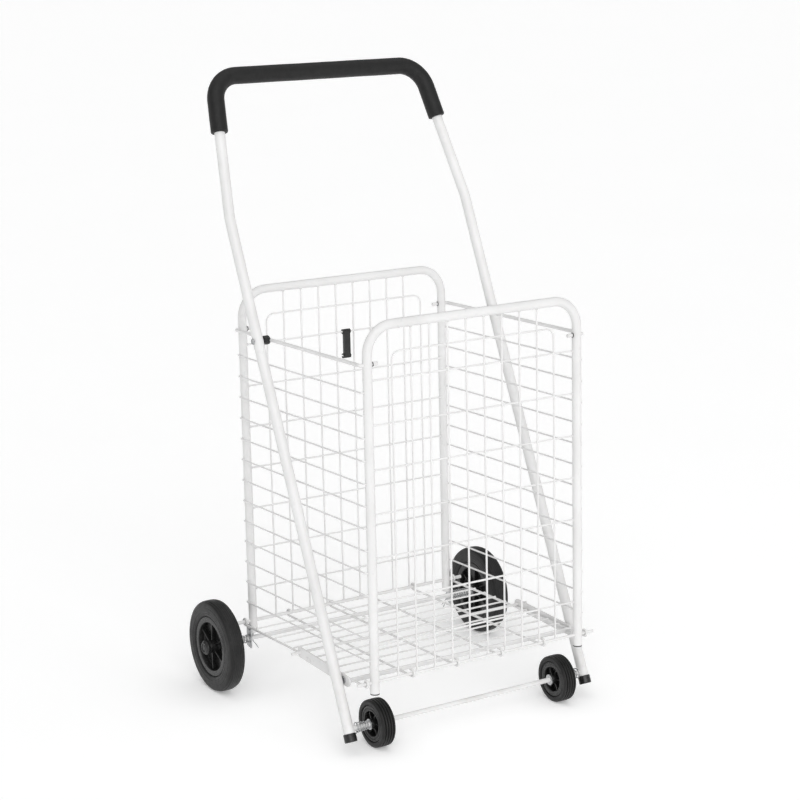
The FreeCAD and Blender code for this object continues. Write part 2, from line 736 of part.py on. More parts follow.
def save(name, solids):
    placed = Part.makeCompound([s.translated(V(0, Y_SHIFT, 0)) for s in solids])
    placed.exportStep("parts/%s.step" % name)


def main():
    os.makedirs("parts", exist_ok=True)
    makers = [rear_frame_tube, rear_panel_mesh, rear_bottom_rod, axle_brackets, bracket_rivets,
              rear_axle, cotter_pins, rear_axle_washers, rear_wheel_springs, rear_axle_caps,
              front_frame_tube, front_panel_mesh, front_bottom_rod, front_tube_plugs,
              top_rails, rail_push_nuts, pivot_bushes, floor_grid, floor_cross_rod,
              handle_tube, handle_grip, foot_caps, handle_pivot_bolts, stay_bolts,
              front_axle, front_wheel_springs, front_axle_washers,
              stay_bars, stay_cross_bar, stay_rivets, closing_clip]
    for make in makers:
        save(make.__name__, make())
    for number, z in enumerate(side_wire_heights(), 1):
        save("side_wire_%02d" % number, both(link_bar(z, SIDE_X, SIDE_END_X, SIDE_BEND_R, WIRE_R)))
    for label, side in (("left", -1), ("right", 1)):
        save("rear_tyre_" + label, rear_wheel_part(rear_tyre(), side))
        save("rear_rim_" + label, rear_wheel_part(rear_rim(), side))
        save("front_tyre_" + label, front_wheel_part(front_tyre(), side))
        save("front_rim_" + label, front_wheel_part(front_rim(), side))


main()
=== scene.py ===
import math

import bmesh
import bpy
from mathutils import Matrix, Quaternion, Vector


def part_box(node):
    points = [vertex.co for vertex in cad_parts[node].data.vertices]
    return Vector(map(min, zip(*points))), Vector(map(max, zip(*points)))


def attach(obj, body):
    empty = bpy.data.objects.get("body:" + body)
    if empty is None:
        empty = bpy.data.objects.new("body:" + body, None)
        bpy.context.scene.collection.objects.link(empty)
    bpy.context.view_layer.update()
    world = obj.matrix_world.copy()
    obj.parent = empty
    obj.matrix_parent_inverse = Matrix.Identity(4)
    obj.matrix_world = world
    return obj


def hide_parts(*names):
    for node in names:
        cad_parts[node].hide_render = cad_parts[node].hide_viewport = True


# Folding wire shopping trolley. Metres, +Z up, the front faces -Y.
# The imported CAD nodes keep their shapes, apart from the tyres, wheel centres, axle caps and grip.
# This script finishes every surface, makes those four finer, each on the body that its CAD node
# rides on, and adds the weld beads.

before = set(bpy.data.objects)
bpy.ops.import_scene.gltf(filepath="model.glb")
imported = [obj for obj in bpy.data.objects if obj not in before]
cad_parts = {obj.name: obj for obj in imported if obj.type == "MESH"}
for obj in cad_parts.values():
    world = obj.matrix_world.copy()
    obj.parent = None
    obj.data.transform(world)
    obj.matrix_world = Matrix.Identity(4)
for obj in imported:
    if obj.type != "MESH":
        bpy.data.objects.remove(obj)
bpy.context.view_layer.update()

MM = 0.001
MERGE = 1e-7                        # points nearer than this are one point
SHARP_ANGLE = math.radians(38)      # an edge that turns by more than this is shaded sharp
STRAIGHT = math.radians(89)         # half a corner's angle, past which it counts as straight
ARC_SHARE = 0.48                    # the most of a side that a rounded corner's arc may take
NOISE_RANGE = (0.3, 0.7)            # where nearly all of a noise texture's values lie
RUB_GAIN = 2.6                      # how many times paler than the plastic its rubs are

# Camera and lights
CAMERA_AZIMUTH = -32.858
CAMERA_ELEVATION = 13.486
CAMERA_ROLL = -0.319
CAMERA_DISTANCE = 3.6065
CAMERA_LENS = 98.06
CAMERA_SENSOR = 36.0
CAMERA_TARGET = Vector((0.0459, 0.0612, 0.4679))
LIGHT_TARGET = Vector((0, 0, 0.45))
SUN_DISTANCE = 4.0
FLOOR_REACH = 90.0

# The basket leans to the rear with its panels, and the handle frame's plane slants back
LEAN = math.radians(1.6)
SLANT = math.atan(0.4584)           # so far back for each unit up
TAPER = math.radians(7.0)

# Basket wires, as distances in the leaning basket
DEPTH = 380.0 * MM
COLUMN_PITCH = 33.33 * MM
INNER_COLUMNS = 8
FRAME_WIRE_X = 150.0 * MM
FRAME_WIRE_DROP = 42.0 * MM
ROW_TOP_Z = 573.5 * MM
ROW_PITCH = 68.6 * MM
ROWS = 7
ROW_SET = 2.6 * MM
PANEL_X = 194.0 * MM
PIVOT_Z = 106.4 * MM
REAR_TOP_Z = 661.0 * MM
FRONT_TOP_Z = 656.0 * MM
REAR_TUBE_R = 7.0 * MM
FRONT_TUBE_R = 7.5 * MM
REAR_ROD_R = 3.0 * MM
FRONT_ROD_R = 2.5 * MM
FLOOR_RUN_Z = 101.32 * MM
FLOOR_CROSS_Z = 104.52 * MM
CROSS_WIRES = 11
CROSS_PITCH = 30.2 * MM

# Weld beads: half their width, depth and height. A bead's middle is _OFF clear of the steel it meets
CROSSING_BEAD = (2.3 * MM, 1.5 * MM, 2.3 * MM)
TUBE_BEAD = (2.7 * MM, 2.5 * MM, 1.3 * MM)
TUBE_BEAD_OFF = 0.4 * MM
ROD_BEAD = (2.4 * MM, 2.2 * MM, 1.2 * MM)
FRAME_ROD_BEAD = (2.3 * MM, 2.0 * MM, 1.2 * MM)
ROD_BEAD_OFF = 0.3 * MM
ROW_END_BEAD = (1.4 * MM, 2.3 * MM, 2.3 * MM)
ROW_END_OFF = 0.2 * MM
FLOOR_BEAD = (2.2 * MM, 2.3 * MM, 1.9 * MM)
FLOOR_BEAD_OFF = 0.2 * MM
FLOOR_BEAD_XS = [x * MM for x in (-207.8, -125.0, -41.7, 41.7, 125.0, 207.8)]
FRAME_WIRE_SET = 0.7 * MM           # how far inside the panel's plane the frame wire's beads are: on top,
FRAME_ROW_SET = 2.0 * MM            # down its sides
FRAME_FOOT_SET = 1.0 * MM           # and at its feet

# Tyres. Grooves are at millimetres from the middle of the tread, or at radii on the side wall
TYRE_SEGMENTS = 160
REAR_SEAT_R = 50.1 * MM
CROWN_STEPS = 64
CROWN_HALF = 13.1 * MM
CROWN_INSET = 0.05 * MM
SHOULDER_DROP = 4.9 * MM
SHOULDER_FULLNESS = 0.97            # 1 would stand the crown's ends upright
SHOULDER_POWER = 3.6
WALL_STEPS = 34
WALL_INSET = 0.1 * MM
WALL_BULGE = 1.3 * MM
WALL_POWER = 0.8
WALL_FOOT = 2.0 * MM
CROWN_GROOVES = {"at": (-5.4, -1.8, 1.8, 5.4), "width": 0.45 * MM, "depth": 0.35 * MM}
SHOULDER_GROOVES = {"at": (-9.6, 9.6), "width": 1.0 * MM, "depth": 0.9 * MM}
WALL_GROOVES = {"at": (57.0, 66.0), "width": 0.5 * MM, "depth": 0.45 * MM}
FRONT_SEAT_R = 28.5 * MM
TREAD_STEPS = 72
TREAD_SHARE = 0.86                  # how much of the tyre's width the tread is
TREAD_DROP = 1.1 * MM
TREAD_POWER = 4
FRONT_SEAT_SHARE = 0.87
FRONT_GROOVES = {"at": (-6.9, -2.3, 2.3, 6.9), "width": 0.80 * MM, "depth": 2.3 * MM}

# Wheel centres, their hub ends inboard and outboard of the middle of the tyre
CENTRE_SEGMENTS = 120
SEAT_REACH = 0.1 * MM               # into the tyre, so that no light shows between the two
SPOKES = 6
SPOKE_STEPS = 10
SPOKE_EDGE_R = 0.3 * MM
SPOKE_OVERLAP = 1.0 * MM
SPOKE_TAPER_POWER = 1.4
SPOKE_FLARE = 0.55                  # how much wider a rib's ends are than its middle
SPOKE_FLARE_REACH = 0.16            # the share of its length over which an end widens
BORE_R = 4.1 * MM
REAR_CENTRE = {"seat": REAR_SEAT_R + SEAT_REACH, "half_width": 12.2 * MM, "edge_r": 1.9 * MM,
               "recess": 40.6 * MM, "web": 3.0 * MM, "lip_groove": None,
               "hub": 11.0 * MM, "hub_ends": (-13.8 * MM, 16.3 * MM),
               "first": 0.0, "bow": 0.0,
               "spoke_t": 1.5 * MM, "spoke_in": 9.2 * MM, "spoke_out": 8.4 * MM}
FRONT_CENTRE = {"seat": FRONT_SEAT_R + SEAT_REACH, "half_width": 10.7 * MM, "edge_r": 1.2 * MM,
                "recess": 20.2 * MM, "web": 2.6 * MM, "lip_groove": 24.0 * MM,
                "hub": 8.2 * MM, "hub_ends": (-12.2 * MM, 12.2 * MM),
                "first": 0.5, "bow": 0.14,
                "spoke_t": 1.6 * MM, "spoke_in": 8.2 * MM, "spoke_out": 7.6 * MM}

# Axle caps
CAP_SEGMENTS = 72
CAP_INSET = 0.05 * MM
CAP_LENGTH = 7.7 * MM
CAP_DEPTH = 4.9 * MM
CAP_BORE_R = 4.05 * MM

# Grip
GRIP_R = 14.25 * MM
GRIP_INSET = 0.15 * MM
GRIP_TOP_X = 197.03 * MM
GRIP_FOOT_Z = 914.0 * MM
GRIP_MIDDLE_DROP = 90.0 * MM        # from the top bar to a point well inside the bow
GRIP_CORNER_R = 46.0 * MM
GRIP_BORE_R = 8.75 * MM
GRIP_EDGE_R = 2.6 * MM
GRIP_PITCH = 0.8 * MM
GRIP_AROUND = 56
GRIP_SKIN = 0.25 * MM               # how uneven the skin is
SKIN_WAVES = (61, 23)               # its two waves along the grip, in radians per metre
CREASE_PITCH = 3.4 * MM
CREASE_DEPTH = 0.6 * MM
CREASE_SPREAD = 0.35                # how far past the inner half of the section a crease runs
CREASE_POWER = 1.5


# ---- finishes ----

def set_inputs(node, values):
    for name, value in values.items():
        node.inputs[name].default_value = value


def own_coordinates(tree):
    """The part's own coordinates, so that a pattern stays on the part as it moves."""
    return tree.nodes.new("ShaderNodeTexCoord").outputs["Object"]


def noise(tree, scale, detail, roughness=0.5):
    """A noise texture, its scale in features per metre."""
    texture = tree.nodes.new("ShaderNodeTexNoise")
    set_inputs(texture, {"Scale": scale, "Detail": detail, "Roughness": roughness})
    tree.links.new(own_coordinates(tree), texture.inputs["Vector"])
    return texture.outputs["Fac"]


def cells(tree, scale):
    """How far each point is from the middle of its cell, with scale cells to the metre."""
    texture = tree.nodes.new("ShaderNodeTexVoronoi")
    set_inputs(texture, {"Scale": scale, "Randomness": 1.0})
    tree.links.new(own_coordinates(tree), texture.inputs["Vector"])
    return texture.outputs["Distance"]


def spread(tree, value, low, high, into=(0.0, 1.0)):
    """Map value from low..high onto the range into."""
    node = tree.nodes.new("ShaderNodeMapRange")
    set_inputs(node, {"From Min": low, "From Max": high, "To Min": into[0], "To Max": into[1]})
    tree.links.new(value, node.inputs["Value"])
    return node.outputs["Result"]


def patchy(tree, scale, detail, between):
    """A value that wanders over the whole of the range between."""
    return spread(tree, noise(tree, scale, detail), *NOISE_RANGE, into=between)


def times(tree, a, b):
    node = tree.nodes.new("ShaderNodeMath")
    node.operation = "MULTIPLY"
    tree.links.new(a, node.inputs[0])
    tree.links.new(b, node.inputs[1])
    return node.outputs["Value"]


def tint(tree, amount, below, colour):
    """Mix colour over what is below by amount. below is a colour or a socket."""
    node = tree.nodes.new("ShaderNodeMix")
    node.data_type = "RGBA"
    tree.links.new(amount, node.inputs["Factor"])
    if isinstance(below, tuple):
        node.inputs["A"].default_value = below
    else:
        tree.links.new(below, node.inputs["A"])
    node.inputs["B"].default_value = colour
    return node.outputs["Result"]


def grey(value, warm=0.0):
    """A grey, its red raised and its blue lowered by the share warm."""
    return (value * (1 + warm), value, value * (1 - warm), 1.0)


def bump(tree, height, depth, strength):
    """A relief of the given depth in metres."""
    node = tree.nodes.new("ShaderNodeBump")
    set_inputs(node, {"Distance": depth, "Strength": strength})
    tree.links.new(height, node.inputs["Height"])
    return node.outputs["Normal"]


def material(name, shader_values):
    """A new material, its tree and its shader with the values that are the same all over."""
    made = bpy.data.materials.new(name)
    made.use_nodes = True
    shader = made.node_tree.nodes["Principled BSDF"]
    set_inputs(shader, shader_values)
    return made, made.node_tree, shader


def dress(tree, shader, colour, roughness, normal):
    """Link what varies over the surface to the shader."""
    tree.links.new(colour, shader.inputs["Base Color"])
    tree.links.new(roughness, shader.inputs["Roughness"])
    tree.links.new(normal, shader.inputs["Normal"])


def height_fade(tree, low, high):
    """1 at and under the height low, down to 0 at high."""
    split = tree.nodes.new("ShaderNodeSeparateXYZ")
    tree.links.new(own_coordinates(tree), split.inputs["Vector"])
    return spread(tree, split.outputs["Z"], low, high, into=(1.0, 0.0))


def powder_coat():
    """Gloss white powder coat: orange-peel, faint clouding, a little handling dirt low down."""
    made, tree, shader = material("finish_powder_coat", {"Specular IOR Level": 0.35})
    clouds = spread(tree, noise(tree, scale=16, detail=3), 0.35, 0.7)
    colour = tint(tree, clouds, grey(0.79, warm=0.002), grey(0.735, warm=0.005))
    specks = spread(tree, noise(tree, scale=420, detail=2), 0.72, 0.78, into=(0.0, 0.5))
    colour = tint(tree, specks, colour, grey(0.55, warm=0.03))
    smears = spread(tree, noise(tree, scale=45, detail=5), 0.45, 0.75, into=(0.0, 0.22))
    dirt = times(tree, height_fade(tree, low=0.05, high=0.20), smears)
    colour = tint(tree, dirt, colour, grey(0.42, warm=0.10))
    peel = bump(tree, noise(tree, scale=650, detail=2), depth=0.12 * MM, strength=0.6)
    dress(tree, shader, colour, patchy(tree, scale=70, detail=3, between=(0.26, 0.40)), peel)
    return made


def zinc():
    """Bright zinc plate with a mottled, lightly rubbed surface."""
    made, tree, shader = material("finish_zinc", {"Metallic": 1.0})
    mottle = spread(tree, noise(tree, scale=260, detail=4), 0.35, 0.65)
    colour = tint(tree, mottle, grey(0.58, warm=-0.01), grey(0.38, warm=-0.02))
    bloom = spread(tree, noise(tree, scale=90, detail=4), 0.6, 0.8, into=(0.0, 0.45))
    colour = tint(tree, bloom, colour, grey(0.48, warm=0.03))
    grain = bump(tree, noise(tree, scale=1400, detail=3), depth=0.05 * MM, strength=0.7)
    dress(tree, shader, colour, patchy(tree, scale=500, detail=3, between=(0.22, 0.42)), grain)
    return made


def blackened_steel():
    """Steel with a dark oxide that is worn paler in patches."""
    made, tree, shader = material("finish_blackened_steel", {"Metallic": 0.9})
    worn = spread(tree, noise(tree, scale=400, detail=3), 0.4, 0.7)
    colour = tint(tree, worn, grey(0.05), grey(0.16, warm=0.03))
    grain = bump(tree, noise(tree, scale=1500, detail=2), depth=0.05 * MM, strength=0.6)
    dress(tree, shader, colour, patchy(tree, scale=700, detail=2, between=(0.35, 0.55)), grain)
    return made


def tyre_rubber():
    """Solid rubber with a pale bloom and a fine speckle of dust."""
    made, tree, shader = material("finish_tyre_rubber", {"Specular IOR Level": 0.32})
    bloom = spread(tree, noise(tree, scale=60, detail=5), 0.4, 0.75)
    colour = tint(tree, bloom, grey(0.007), grey(0.015, warm=0.01))
    dust = spread(tree, noise(tree, scale=380, detail=5, roughness=0.7), 0.54, 0.80, into=(0.0, 0.22))
    colour = tint(tree, dust, colour, grey(0.06, warm=0.04))
    grain = bump(tree, noise(tree, scale=1100, detail=4), depth=0.12 * MM, strength=0.6)
    dress(tree, shader, colour, patchy(tree, scale=150, detail=4, between=(0.34, 0.50)), grain)
    return made


def moulded(name, dark, pale, rough, grain, depth):
    """Moulded black plastic: a fine grain with a few paler rubs."""
    made, tree, shader = material(name, {"Specular IOR Level": 0.5})
    clouds = spread(tree, noise(tree, scale=120, detail=3), 0.35, 0.7)
    colour = tint(tree, clouds, grey(dark), grey(pale))
    rubs = spread(tree, noise(tree, scale=240, detail=6, roughness=0.7), 0.68, 0.82, into=(0.0, 0.35))
    colour = tint(tree, rubs, colour, grey(pale * RUB_GAIN))
    texture = bump(tree, noise(tree, scale=grain, detail=2), depth, strength=0.8)
    dress(tree, shader, colour, patchy(tree, scale=300, detail=3, between=rough), texture)
    return made


def foam():
    """Closed-cell foam: fine cells over soft unevenness, with a dry sheen."""
    made, tree, shader = material("finish_foam", {"Sheen Weight": 0.04, "Sheen Roughness": 0.5,
                                                 "Specular IOR Level": 0.26})
    clouds = spread(tree, noise(tree, scale=90, detail=4), 0.35, 0.7)
    colour = tint(tree, clouds, grey(0.006), grey(0.012))
    from_middle = cells(tree, scale=1150)
    walls = spread(tree, from_middle, 0.25, 0.6, into=(0.0, 0.5))
    colour = tint(tree, walls, colour, grey(0.020))
    relief = bump(tree, from_middle, depth=0.12 * MM, strength=0.5)
    dress(tree, shader, colour, patchy(tree, scale=220, detail=3, between=(0.46, 0.62)), relief)
    return made


FINISHES = {
    "white_powder_coat": powder_coat(),
    "zinc_plate": zinc(),
    "dark_steel": blackened_steel(),
    "tyre_rubber": tyre_rubber(),
    "rim_plastic": moulded("finish_rim_plastic", dark=0.005, pale=0.010, rough=(0.24, 0.38),
                           grain=1500, depth=0.07 * MM),
    "black_plastic": moulded("finish_black_plastic", dark=0.009, pale=0.015, rough=(0.24, 0.40),
                             grain=1200, depth=0.06 * MM),
    "grip_foam": foam(),
}


def finish_cad_nodes():
    """Give each CAD node the finish of the slot that it was packed with."""
    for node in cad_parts.values():
        for held in node.material_slots:
            held.material = FINISHES[held.material.name]


# ---- mesh helpers ----

def piece(name, shells, slot, body, stands_for=()):
    """One object from closed shells of (points, faces), smooth, on its body."""
    mesh = bpy.data.meshes.new(name)
    points, faces = [], []
    for shell_points, shell_faces in shells:
        first = len(points)
        points += [tuple(p) for p in shell_points]
        faces += [tuple(first + i for i in face) for face in shell_faces]
    mesh.from_pydata(points, [], faces)
    work = bmesh.new()
    work.from_mesh(mesh)
    bmesh.ops.remove_doubles(work, verts=work.verts, dist=MERGE)
    bmesh.ops.recalc_face_normals(work, faces=work.faces)
    work.to_mesh(mesh)
    work.free()
    mesh.shade_smooth()
    mesh.set_sharp_from_angle(angle=SHARP_ANGLE)
    made = bpy.data.objects.new(name, mesh)
    bpy.context.scene.collection.objects.link(made)
    mesh.materials.append(FINISHES[slot])
    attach(made, body)
    if stands_for:
        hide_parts(*stands_for)
    return made


def rounded(corners, steps=5):
    """A closed outline whose (a, b, radius) corners are rounded, by less where a side is short."""
    points = []
    count = len(corners)
    for i, (a, b, radius) in enumerate(corners):
        here = Vector((a, b))
        before = Vector(corners[i - 1][:2]) - here
        after = Vector(corners[(i + 1) % count][:2]) - here
        half = before.angle(after) / 2
        if radius == 0 or half > STRAIGHT:
            points.append(here)
            continue
        radius = min(radius, ARC_SHARE * min(before.length, after.length) * math.tan(half))
        bisector = (before.normalized() + after.normalized()).normalized()
        centre = here + bisector * (radius / math.sin(half))
        start = here + before.normalized() * (radius / math.tan(half)) - centre
        end = here + after.normalized() * (radius / math.tan(half)) - centre
        turn = start.angle_signed(end)
        for k in range(steps + 1):
            points.append(centre + Matrix.Rotation(-turn * k / steps, 2) @ start)
    return points


def turned(outline, centre, segments, outward=1):
    """A closed outline of (distance along X, radius) points revolved about X through centre."""
    points, faces = [], []
    count = len(outline)
    for i in range(segments):
        angle = 2 * math.pi * i / segments
        for along, radius in outline:
            around = Vector((outward * along, radius * math.sin(angle), radius * math.cos(angle)))
            points.append(centre + around)
    for i in range(segments):
        ring, after = i * count, ((i + 1) % segments) * count
        for k in range(count):
            n = (k + 1) % count
            faces.append((ring + k, ring + n, after + n, after + k))
    return points, faces


def lofted(sections):
    """A closed shell through equal rings of points, capped at both ends."""
    count = len(sections[0])
    points = [p for ring in sections for p in ring]
    faces = []
    for i in range(len(sections) - 1):
        for k in range(count):
            n = (k + 1) % count
            faces.append((i * count + k, i * count + n, (i + 1) * count + n, (i + 1) * count + k))
    last = (len(sections) - 1) * count
    faces += [tuple(reversed(range(count))), tuple(range(last, last + count))]
    return points, faces


def bead(centre, radii, turn):
    """A small flattened drop of weld."""
    work = bmesh.new()
    bmesh.ops.create_icosphere(work, subdivisions=2, radius=1.0)
    points = [centre + turn @ Vector((v.co.x * radii[0], v.co.y * radii[1], v.co.z * radii[2]))
              for v in work.verts]
    faces = [tuple(v.index for v in f.verts) for f in work.faces]
    work.free()
    return points, faces


# ---- wheels ----

def wheel_box(node):
    """The middle of a wheel part's box, half its width and its radius."""
    low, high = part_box(node)
    return (low + high) / 2, (high.x - low.x) / 2, (high.z - low.z) / 2


def bell(distance, width):
    """1 at distance 0, falling away on both sides over about width."""
    return math.exp(-(distance / width) ** 2)


def cut_by(grooves, distance):
    """How deep a set of round-bottomed grooves is at distance."""
    share = sum(bell(distance - at * MM, grooves["width"]) for at in grooves["at"])
    return grooves["depth"] * min(1.0, share)


def rear_tyre_outline(half_width, radius):
    """Full round shoulders, a low crown, and faint moulded rings on the crown and side walls."""
    crown = []
    for k in range(CROWN_STEPS + 1):
        along = CROWN_HALF * (1 - 2 * k / CROWN_STEPS)
        share = abs(along) / CROWN_HALF
        drop = SHOULDER_DROP * (1 - math.sqrt(max(0.0, 1 - SHOULDER_FULLNESS * share ** SHOULDER_POWER)))
        grooves = cut_by(CROWN_GROOVES, along) + cut_by(SHOULDER_GROOVES, along)
        crown.append((along, radius - CROWN_INSET - drop - grooves))
    side = []
    shoulder = crown[-1][1]
    for k in range(1, WALL_STEPS):
        share = k / WALL_STEPS
        level = shoulder + (REAR_SEAT_R + WALL_FOOT - shoulder) * share
        bulge = CROWN_HALF + WALL_BULGE * math.sin(math.pi * share) ** WALL_POWER
        side.append((min(half_width - WALL_INSET, bulge) - cut_by(WALL_GROOVES, level), level))
    side += [(12.5 * MM, REAR_SEAT_R + 1.0 * MM), (11.2 * MM, REAR_SEAT_R + 0.3 * MM),
             (10.4 * MM, REAR_SEAT_R)]
    return crown + [(-along, level) for along, level in side] + side[::-1]


def front_tyre_outline(half_width, radius):
    """A flat tread with four rounded grooves."""
    tread_half = half_width * TREAD_SHARE
    tread = []
    for k in range(TREAD_STEPS + 1):
        along = tread_half * (1 - 2 * k / TREAD_STEPS)
        drop = TREAD_DROP * (abs(along) / half_width) ** TREAD_POWER
        tread.append((along, radius - drop - cut_by(FRONT_GROOVES, along)))
    side = rounded([(tread_half, radius - 0.7 * MM, 0),
                    (half_width, radius - 3.2 * MM, 1.6 * MM),
                    (half_width, FRONT_SEAT_R + 1.8 * MM, 1.2 * MM),
                    (half_width * FRONT_SEAT_SHARE, FRONT_SEAT_R, 0.4 * MM)])[1:]
    return tread + [(-p.x, p.y) for p in side] + side[::-1]


def spoke(spec, angle):
    """A moulded rib from the hub to the ring at angle, bowed sideways by the spec's bow."""
    inner, outer = spec["hub"] - SPOKE_OVERLAP, spec["recess"] - SPOKE_OVERLAP
    sections = []
    for k in range(SPOKE_STEPS + 1):
        share = k / SPOKE_STEPS
        depth = spec["spoke_in"] + (spec["spoke_out"] - spec["spoke_in"]) * share ** SPOKE_TAPER_POWER
        heading = angle + spec["bow"] * math.sin(math.pi * share)
        radial = Vector((0, math.sin(heading), math.cos(heading)))
        across = Vector((0, math.cos(heading), -math.sin(heading)))
        ends = bell(share, SPOKE_FLARE_REACH) + bell(1 - share, SPOKE_FLARE_REACH)
        half = spec["spoke_t"] / 2 * (1 + SPOKE_FLARE * ends)
        section = rounded([(-depth, -half, SPOKE_EDGE_R), (depth, -half, SPOKE_EDGE_R),
                           (depth, half, SPOKE_EDGE_R), (-depth, half, SPOKE_EDGE_R)], steps=3)
        middle = radial * (inner + (outer - inner) * share)
        sections.append([middle + Vector((p.x, 0, 0)) + across * p.y for p in section])
    return sections


def centre_face(spec, side, hub_end, lip_groove):
    """One face of a wheel centre as corners, from the seat over lip groove and web to the bore.

    The ring and the hub slope a little towards the web, as they have to leave their mould.
    """
    rim, web = side * spec["half_width"], side * spec["web"] / 2
    corners = [(rim, spec["seat"], spec["edge_r"])]
    if lip_groove:
        bottom = rim - side * 0.9 * MM
        corners += [(rim, lip_groove + 1.1 * MM, 0.3 * MM), (bottom, lip_groove + 0.6 * MM, 0.3 * MM),
                    (bottom, lip_groove - 0.6 * MM, 0.3 * MM), (rim, lip_groove - 1.1 * MM, 0.3 * MM)]
    corners += [(rim, spec["recess"], 1.4 * MM), (web, spec["recess"] - 1.8 * MM, 1.6 * MM),
                (web, spec["hub"] + 0.6 * MM, 1.4 * MM), (hub_end, spec["hub"] - 0.4 * MM, 1.2 * MM),
                (hub_end, BORE_R, 0.3 * MM)]
    return corners


def wheel_centre(name, side, body, cad_node, tyre_node, spec):
    """Ring, web and hub in one turned body, with ribs as spokes."""
    axis = wheel_box(cad_node)[0]
    centre = Vector((wheel_box(tyre_node)[0].x, axis.y, axis.z))
    inboard, outboard = spec["hub_ends"]
    inner_face = centre_face(spec, -1, inboard, None)
    corners = centre_face(spec, 1, outboard, spec["lip_groove"]) + inner_face[::-1]
    shells = [turned(rounded(corners), centre, CENTRE_SEGMENTS, side)]
    for i in range(SPOKES):
        sections = spoke(spec, 2 * math.pi * (i + spec["first"]) / SPOKES)
        rings = [[centre + Vector((side * p.x, p.y, p.z)) for p in ring] for ring in sections]
        shells.append(lofted(rings))
    piece(name, shells, "rim_plastic", body, [cad_node])


def wheels():
    for label, side in (("left", -1), ("right", 1)):
        for place, outline_of, spec in (("rear", rear_tyre_outline, REAR_CENTRE),
                                        ("front", front_tyre_outline, FRONT_CENTRE)):
            body = "%s_wheel_%s" % (place, label)
            tyre_node = "%s_tyre_%s" % (place, label)
            centre, half_width, radius = wheel_box(tyre_node)
            shell = turned(outline_of(half_width, radius), centre, TYRE_SEGMENTS)
            piece("%s_tyre_shell_%s" % (place, label), [shell], "tyre_rubber", body, [tyre_node])
            wheel_centre("%s_wheel_centre_%s" % (place, label), side, body,
                         "%s_rim_%s" % (place, label), tyre_node, spec)


# ---- axle caps ----

def axle_caps():
    """Push-on caps with a rolled edge and a domed middle inside a sunk ring."""
    low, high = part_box("rear_axle_caps")
    axis = (low + high) / 2
    radius = (high.z - low.z) / 2 - CAP_INSET
    end = high.x - CAP_INSET
    foot = high.x - CAP_LENGTH
    bottom = foot + CAP_DEPTH
    shell = [(foot, CAP_BORE_R, 0), (foot, radius, 0.5 * MM)]
    rolled_edge = [(end - 3.4 * MM, radius, 1.5 * MM), (end, radius - 3.0 * MM, 1.3 * MM),
                   (end, radius - 4.4 * MM, 0.5 * MM)]
    sunk_ring = [(end - 1.5 * MM, radius - 5.4 * MM, 0.6 * MM),
                 (end - 1.4 * MM, radius - 6.6 * MM, 0.6 * MM)]
    dome = [(end - 0.4 * MM, radius - 8.6 * MM, 1.5 * MM), (end - 0.2 * MM, 0, 0)]
    bore = [(bottom, 0, 0), (bottom, CAP_BORE_R, 0)]
    outline = rounded(shell + rolled_edge + sunk_ring + dome + bore)
    middle = Vector((0, axis.y, axis.z))
    shells = [turned(outline, middle, CAP_SEGMENTS, side) for side in (-1, 1)]
    piece("axle_cap_shells", shells, "black_plastic", "rear_frame", ["rear_axle_caps"])


# ---- grip ----

def bend_path(corners, radius, pitch):
    """Points about pitch apart along straight runs joined by arcs, each with how far into a bend.

    That is 0 on the runs and at both ends of an arc, and 1 in its middle.
    """
    samples = []

    def run(a, b):
        count = max(2, round((b - a).length / pitch))
        samples.extend((a.lerp(b, k / count), 0.0) for k in range(count))

    start = corners[0]
    for before, here, after in zip(corners, corners[1:], corners[2:]):
        into, out = (here - before).normalized(), (after - here).normalized()
        turn = into.angle(out)
        reach = radius * math.tan(turn / 2)
        a = here - into * reach
        inward = (out - into).normalized()
        centre = here + inward * (radius / math.cos(turn / 2))
        run(start, a)
        axis = into.cross(out).normalized()
        count = max(6, round(radius * turn / pitch))
        for k in range(count):
            spun = Matrix.Rotation(turn * k / count, 3, axis) @ (a - centre)
            samples.append((centre + spun, math.sin(math.pi * k / count)))
        start = here + out * reach
    run(start, corners[-1])
    samples.append((corners[-1], 0.0))
    return samples


def skin_reach(angle, travelled, from_end, bend):
    """How far the foam's skin is from the grip's line, at angle from the inside of the bow."""
    roll = max(0.0, 1 - from_end / GRIP_EDGE_R)
    rolled_end = GRIP_EDGE_R * (1 - math.sqrt(1 - roll * roll))
    inner_side = max(0.0, (math.cos(angle) + CREASE_SPREAD) / (1 + CREASE_SPREAD)) ** CREASE_POWER
    crease = bend * inner_side * (0.5 - 0.5 * math.cos(2 * math.pi * travelled / CREASE_PITCH))
    fast, slow = SKIN_WAVES
    soft = math.sin(travelled * fast + 2 * angle) * math.sin(travelled * slow + angle)
    return GRIP_R - GRIP_INSET - rolled_end - CREASE_DEPTH * crease - GRIP_SKIN * (0.5 + 0.5 * soft)


